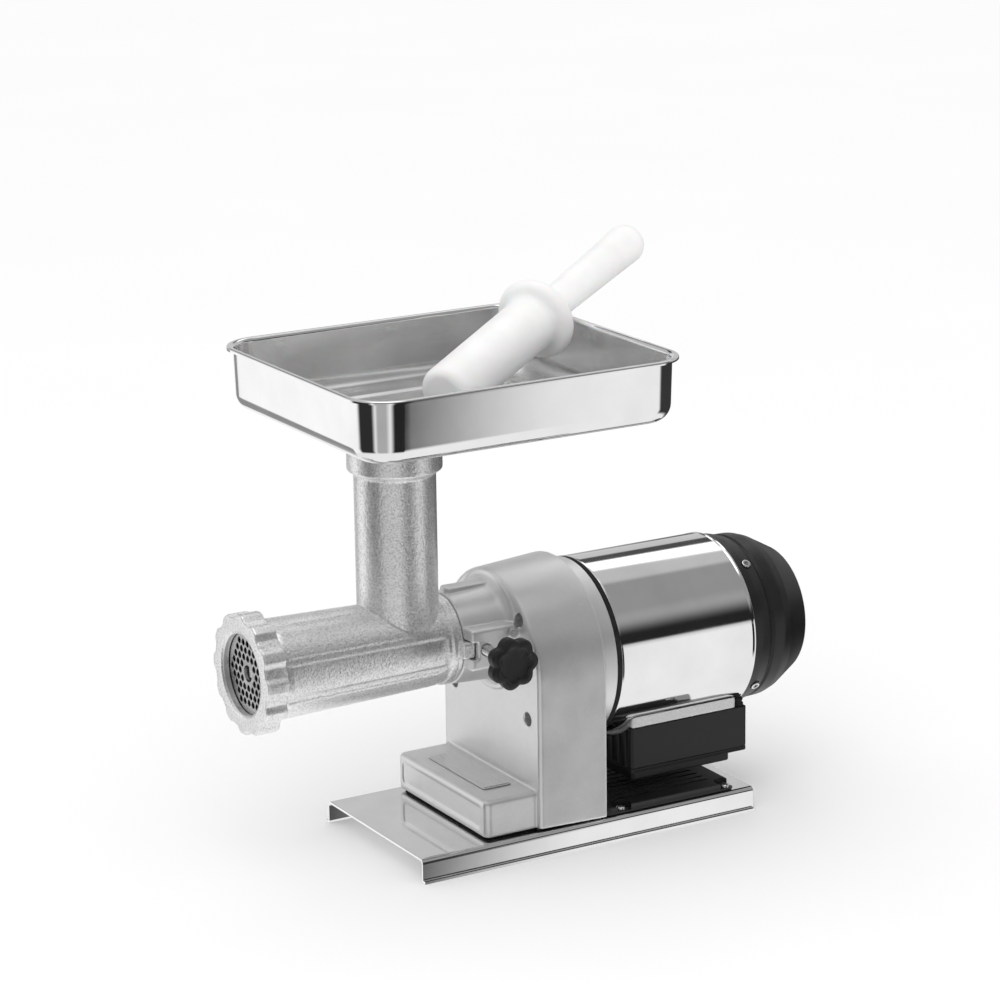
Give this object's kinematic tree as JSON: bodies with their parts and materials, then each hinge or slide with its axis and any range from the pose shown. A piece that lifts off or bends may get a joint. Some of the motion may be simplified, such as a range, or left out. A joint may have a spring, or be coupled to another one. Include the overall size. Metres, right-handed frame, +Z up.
{
  "type": "electric meat grinder",
  "caption": "Electric meat grinder: geared motor on a channel base plate, clamped mincing head with ring nut, auger and hole plate, feed neck, tray and pusher.",
  "frame": {"origin": "on the table, under the middle of the box around the whole machine, pusher included", "axes": "+X from the mincing head towards the motor, +Z up, +Y away from the clamp knob"},
  "size_m": [0.4736, 0.2494, 0.4391],
  "materials": {
    "polished_steel": "mirror-polished stainless steel sheet with faint grain and light handling marks",
    "cast_aluminium": "shot-blasted and tumbled cast aluminium, fine satin grain",
    "tinned_iron": "hot-tinned cast iron, coarse sand-cast grain on the outside",
    "machined_steel": "turned and ground steel",
    "zinc_screw": "zinc-plated steel",
    "black_plastic": "moulded black plastic with a fine eroded grain",
    "black_rubber": "black rubber",
    "white_plastic": "white food-grade polyethylene, slightly translucent, satin",
    "copper": "enamelled copper wire winding",
    "bronze": "sintered bronze"
  },
  "bodies": {
    "stand": {"base_plate": "polished_steel", "motor_sleeve": "polished_steel", "gearcase": "cast_aluminium", "nameplate": "cast_aluminium", "motor_flange": "cast_aluminium", "rear_shield": "cast_aluminium", "terminal_pad": "cast_aluminium", "front_bearing": "machined_steel", "rear_bearing": "machined_steel", "stator_core": "machined_steel", "motor_front_bearing": "machined_steel", "motor_rear_bearing": "machined_steel", "gearcase_bolt_1": "zinc_screw", "gearcase_bolt_2": "zinc_screw", "cover_screw_1": "zinc_screw", "cover_screw_2": "zinc_screw", "cover_screw_3": "zinc_screw", "cover_screw_4": "zinc_screw", "case_screw_1": "zinc_screw", "case_screw_2": "zinc_screw", "case_screw_3": "zinc_screw", "case_screw_4": "zinc_screw", "fan_cover_screw_1": "zinc_screw", "fan_cover_screw_2": "zinc_screw", "fan_cover_screw_3": "zinc_screw", "fan_cover_screw_4": "zinc_screw", "base_cover": "black_plastic", "fan_cover": "black_plastic", "switch_box": "black_plastic", "box_lid": "black_plastic", "switch_bezel": "black_plastic", "cable_gland": "black_plastic", "base_gasket": "black_rubber", "shaft_seal": "black_rubber", "flange_gasket": "black_rubber", "capacitor": "white_plastic", "front_winding": "copper", "rear_winding": "copper"},
    "output": {"output_shaft": "machined_steel", "output_gear": "machined_steel"},
    "counter": {"countershaft": "machined_steel", "intermediate_gear": "machined_steel"},
    "rotor": {"rotor": "machined_steel", "motor_shaft": "machined_steel", "cooling_fan": "black_plastic"},
    "head": {"head_casting": "tinned_iron", "plate_key_pin": "machined_steel", "thrust_washer": "bronze"},
    "auger": {"auger": "tinned_iron", "knife": "machined_steel"},
    "plate": {"hole_plate": "machined_steel"},
    "nut": {"ring_nut": "tinned_iron"},
    "stud": {"clamp_stud": "zinc_screw"},
    "knob": {"clamp_knob": "black_plastic"},
    "tray": {"tray": "polished_steel"},
    "pusher": {"pusher": "white_plastic"},
    "rocker": {"rocker_switch": "black_plastic"}
  },
  "joints": [
    {"name": "motor_spin", "type": "hinge", "parent": "stand", "child": "rotor", "pos_m": [0.06405, 0, 0.1355], "axis": [1, 0, 0], "continuous": true},
    {"name": "counter_spin", "type": "hinge", "parent": "stand", "child": "counter", "pos_m": [0.00905, 0.03625, 0.13534], "axis": [1, 0, 0], "continuous": true},
    {"name": "output_spin", "type": "hinge", "parent": "stand", "child": "output", "pos_m": [-0.00595, 0, 0.162], "axis": [1, 0, 0], "continuous": true},
    {"name": "head_slide", "type": "slide", "parent": "stand", "child": "head", "axis": [-1, 0, 0], "range_m": [0, 0.06]},
    {"name": "auger_spin", "type": "hinge", "parent": "head", "child": "auger", "pos_m": [-0.14595, 0, 0.162], "axis": [1, 0, 0], "continuous": true},
    {"name": "plate_slide", "type": "slide", "parent": "head", "child": "plate", "axis": [-1, 0, 0], "range_m": [0, 0.0121]},
    {"name": "nut_turn", "type": "hinge", "parent": "plate", "child": "nut", "pos_m": [-0.22595, 0, 0.162], "axis": [-1, 0, 0], "range_deg": [0, 1440]},
    {"name": "stud_slide", "type": "slide", "parent": "stand", "child": "stud", "axis": [0, -1, 0], "range_m": [0, 0.0025]},
    {"name": "knob_turn", "type": "hinge", "parent": "stud", "child": "knob", "pos_m": [-0.05265, -0.08, 0.162], "axis": [0, -1, 0], "range_deg": [0, 720]},
    {"name": "tray_lift", "type": "slide", "parent": "head", "child": "tray", "axis": [0, 0, 1], "range_m": [0, 0.09]},
    {"name": "pusher_lift", "type": "slide", "parent": "tray", "child": "pusher", "axis": [0, 0, 1], "range_m": [0, 0.15]},
    {"name": "rocker_tilt", "type": "hinge", "parent": "stand", "child": "rocker", "pos_m": [0.10515, 0.051, 0.0588], "axis": [-1, 0, 0], "range_deg": [0, 16]}
  ],
  "couplings": [
    {"joint": "counter_spin", "follows": "motor_spin", "ratio": -0.20833},
    {"joint": "output_spin", "follows": "motor_spin", "ratio": 0.052083},
    {"joint": "auger_spin", "follows": "motor_spin", "ratio": 0.052083},
    {"joint": "plate_slide", "follows": "nut_turn", "m_per_rad": 0.00047746},
    {"joint": "knob_turn", "follows": "stud_slide", "rad_per_m": 5026.5}
  ]
}
